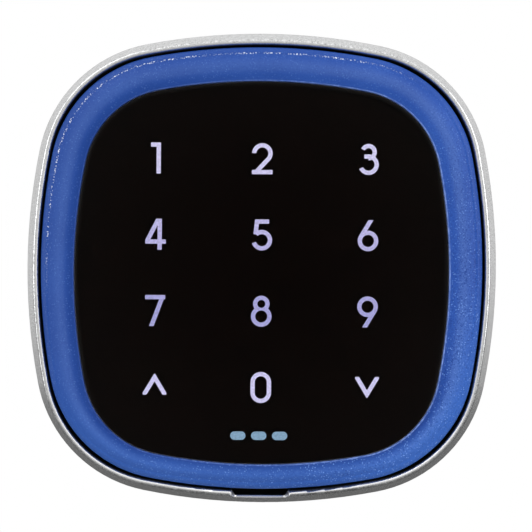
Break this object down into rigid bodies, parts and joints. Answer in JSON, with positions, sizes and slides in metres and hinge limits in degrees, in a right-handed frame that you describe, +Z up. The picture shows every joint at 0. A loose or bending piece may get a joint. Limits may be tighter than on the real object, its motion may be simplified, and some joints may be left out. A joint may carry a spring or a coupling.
{
  "type": "keypad access reader",
  "caption": "Wall-mounted keypad access reader: satin metal housing, crowned blue light ring, black touch panel with lit digits, and the boards, terminals and switches inside.",
  "frame": {"origin": "centre of the housing's back face, on the wall", "axes": "+X to the right and +Z up as it hangs on the wall, +Y into the wall, so the front faces -Y"},
  "size_m": [0.085, 0.0245, 0.085],
  "materials": {
    "satin_metal": "satin die-cast",
    "foam": "closed-cell foam",
    "seal_rubber": "matte",
    "board_green": "solder mask",
    "board_black": "solder mask",
    "steel_screw": "zinc plated",
    "terminal_plastic": "moulded",
    "brass": "bright",
    "relay_case": "moulded",
    "black_plastic": "moulded",
    "can_aluminium": "drawn",
    "white_plastic": "moulded",
    "red_plastic": "moulded",
    "switch_blue": "moulded",
    "chip_black": "moulded epoxy",
    "ring_blue": "spark-eroded translucent",
    "panel_glass": "polished",
    "mask_black": "back print",
    "adhesive": "tape",
    "diffuser": "opal",
    "grid_white": "moulded",
    "led_white": "encapsulated",
    "led_blue": "encapsulated",
    "spring_steel": "drawn wire",
    "copper_wire": "enamelled"
  },
  "bodies": {
    "base": {"housing": "satin_metal", "wall_gasket": "foam", "cable_grommet": "seal_rubber", "base_board": "board_green", "base_board_screws": "steel_screw", "terminal_block_body": "terminal_plastic", "terminal_contacts": "brass", "relay": "relay_case", "buzzer": "black_plastic", "filter_capacitor": "can_aluminium", "base_header_socket": "black_plastic", "tamper_switch_body": "black_plastic", "program_button_body": "black_plastic", "dip_switch_body": "switch_blue", "base_smd_parts": "chip_black"},
    "front_module": {"front_carrier": "black_plastic", "light_ring": "ring_blue", "touch_glass": "panel_glass", "glass_adhesive": "adhesive", "legend_mask": "mask_black", "legend_diffuser": "diffuser", "light_well_grid": "grid_white", "touch_board": "board_black", "key_leds": "led_white", "ring_leds": "led_blue", "touch_springs": "spring_steel", "rfid_antenna_coil": "copper_wire", "controller_chips": "chip_black", "header_strip": "black_plastic", "header_pins": "brass", "module_seal": "seal_rubber", "retaining_springs": "spring_steel", "grid_screws": "steel_screw", "touch_smd_parts": "chip_black"},
    "tamper": {"tamper_plunger": "white_plastic"},
    "program_button": {"program_button_cap": "red_plastic"},
    "slider_1": {"dip_slider_1": "white_plastic"},
    "slider_2": {"dip_slider_2": "white_plastic"},
    "screw_1": {"terminal_screw_1": "steel_screw"},
    "clamp_1": {"terminal_clamp_1": "brass"},
    "screw_2": {"terminal_screw_2": "steel_screw"},
    "clamp_2": {"terminal_clamp_2": "brass"},
    "screw_3": {"terminal_screw_3": "steel_screw"},
    "clamp_3": {"terminal_clamp_3": "brass"},
    "screw_4": {"terminal_screw_4": "steel_screw"},
    "clamp_4": {"terminal_clamp_4": "brass"},
    "screw_5": {"terminal_screw_5": "steel_screw"},
    "clamp_5": {"terminal_clamp_5": "brass"},
    "screw_6": {"terminal_screw_6": "steel_screw"},
    "clamp_6": {"terminal_clamp_6": "brass"}
  },
  "joints": [
    {"name": "front_module_slide", "type": "slide", "parent": "base", "child": "front_module", "axis": [0, -1, 0], "range_m": [0, 0.03]},
    {"name": "tamper_plunger_travel", "type": "slide", "parent": "base", "child": "tamper", "axis": [0, -1, 0], "range_m": [0, 0.002]},
    {"name": "program_button_press", "type": "slide", "parent": "base", "child": "program_button", "axis": [0, 1, 0], "range_m": [0, 0.00025], "stiffness_N_per_m": 1200, "springref_m": -0.0002},
    {"name": "slide_switch_1", "type": "slide", "parent": "base", "child": "slider_1", "axis": [0, 0, 1], "range_m": [0, 0.0012]},
    {"name": "slide_switch_2", "type": "slide", "parent": "base", "child": "slider_2", "axis": [0, 0, 1], "range_m": [0, 0.0012]},
    {"name": "terminal_clamp_1_drop", "type": "slide", "parent": "base", "child": "clamp_1", "axis": [0, 1, 0], "range_m": [0, 0.00158]},
    {"name": "terminal_screw_1_turn", "type": "hinge", "parent": "base", "child": "screw_1", "pos_m": [-0.0127, -0.0145, -0.0024], "axis": [0, -1, 0], "range_deg": [0, 1260]},
    {"name": "terminal_clamp_2_drop", "type": "slide", "parent": "base", "child": "clamp_2", "axis": [0, 1, 0], "range_m": [0, 0.00158]},
    {"name": "terminal_screw_2_turn", "type": "hinge", "parent": "base", "child": "screw_2", "pos_m": [-0.00762, -0.0145, -0.0024], "axis": [0, -1, 0], "range_deg": [0, 1260]},
    {"name": "terminal_clamp_3_drop", "type": "slide", "parent": "base", "child": "clamp_3", "axis": [0, 1, 0], "range_m": [0, 0.00158]},
    {"name": "terminal_screw_3_turn", "type": "hinge", "parent": "base", "child": "screw_3", "pos_m": [-0.00254, -0.0145, -0.0024], "axis": [0, -1, 0], "range_deg": [0, 1260]},
    {"name": "terminal_clamp_4_drop", "type": "slide", "parent": "base", "child": "clamp_4", "axis": [0, 1, 0], "range_m": [0, 0.00158]},
    {"name": "terminal_screw_4_turn", "type": "hinge", "parent": "base", "child": "screw_4", "pos_m": [0.00254, -0.0145, -0.0024], "axis": [0, -1, 0], "range_deg": [0, 1260]},
    {"name": "terminal_clamp_5_drop", "type": "slide", "parent": "base", "child": "clamp_5", "axis": [0, 1, 0], "range_m": [0, 0.00158]},
    {"name": "terminal_screw_5_turn", "type": "hinge", "parent": "base", "child": "screw_5", "pos_m": [0.00762, -0.0145, -0.0024], "axis": [0, -1, 0], "range_deg": [0, 1260]},
    {"name": "terminal_clamp_6_drop", "type": "slide", "parent": "base", "child": "clamp_6", "axis": [0, 1, 0], "range_m": [0, 0.00158]},
    {"name": "terminal_screw_6_turn", "type": "hinge", "parent": "base", "child": "screw_6", "pos_m": [0.0127, -0.0145, -0.0024], "axis": [0, -1, 0], "range_deg": [0, 1260]}
  ],
  "couplings": [
    {"joint": "tamper_plunger_travel", "follows": "front_module_slide", "ratio": 0.0666},
    {"joint": "terminal_screw_1_turn", "follows": "terminal_clamp_1_drop", "rad_per_m": 13963},
    {"joint": "terminal_screw_2_turn", "follows": "terminal_clamp_2_drop", "rad_per_m": 13963},
    {"joint": "terminal_screw_3_turn", "follows": "terminal_clamp_3_drop", "rad_per_m": 13963},
    {"joint": "terminal_screw_4_turn", "follows": "terminal_clamp_4_drop", "rad_per_m": 13963},
    {"joint": "terminal_screw_5_turn", "follows": "terminal_clamp_5_drop", "rad_per_m": 13963},
    {"joint": "terminal_screw_6_turn", "follows": "terminal_clamp_6_drop", "rad_per_m": 13963}
  ]
}
